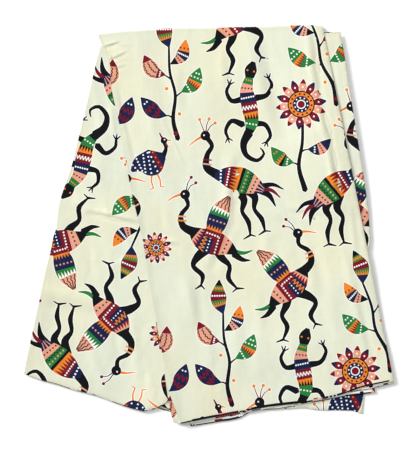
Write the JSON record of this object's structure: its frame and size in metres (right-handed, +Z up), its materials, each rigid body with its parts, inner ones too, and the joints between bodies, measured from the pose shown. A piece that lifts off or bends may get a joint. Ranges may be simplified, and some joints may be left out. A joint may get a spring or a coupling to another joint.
{
  "type": "folded length of printed cotton cloth",
  "caption": "Length of wax-printed cotton cloth, doubled lengthwise and folded into a flat stack, with its last length brought over the top fold at a slant.",
  "frame": {"origin": "middle of the stack's footprint, on the surface it lies on", "axes": "+Y towards the top fold, +Z up out of the face that shows, +X to the right seen from above"},
  "size_m": [0.9244, 1.0044, 0.0155],
  "materials": {
    "printed_cotton": "plain-weave cotton with a light starch sheen and a multi-colour print",
    "folded_plies": "stacked folded edges of the same cotton"
  },
  "bodies": {
    "root": {"folded_core": "folded_plies", "tail_end": "printed_cotton", "selvedge_corner": "printed_cotton", "lower_ply": "printed_cotton", "left_flap": "printed_cotton", "right_under_layer": "printed_cotton", "end_ply": "printed_cotton", "front_panel": "printed_cotton"}
  },
  "joints": []
}
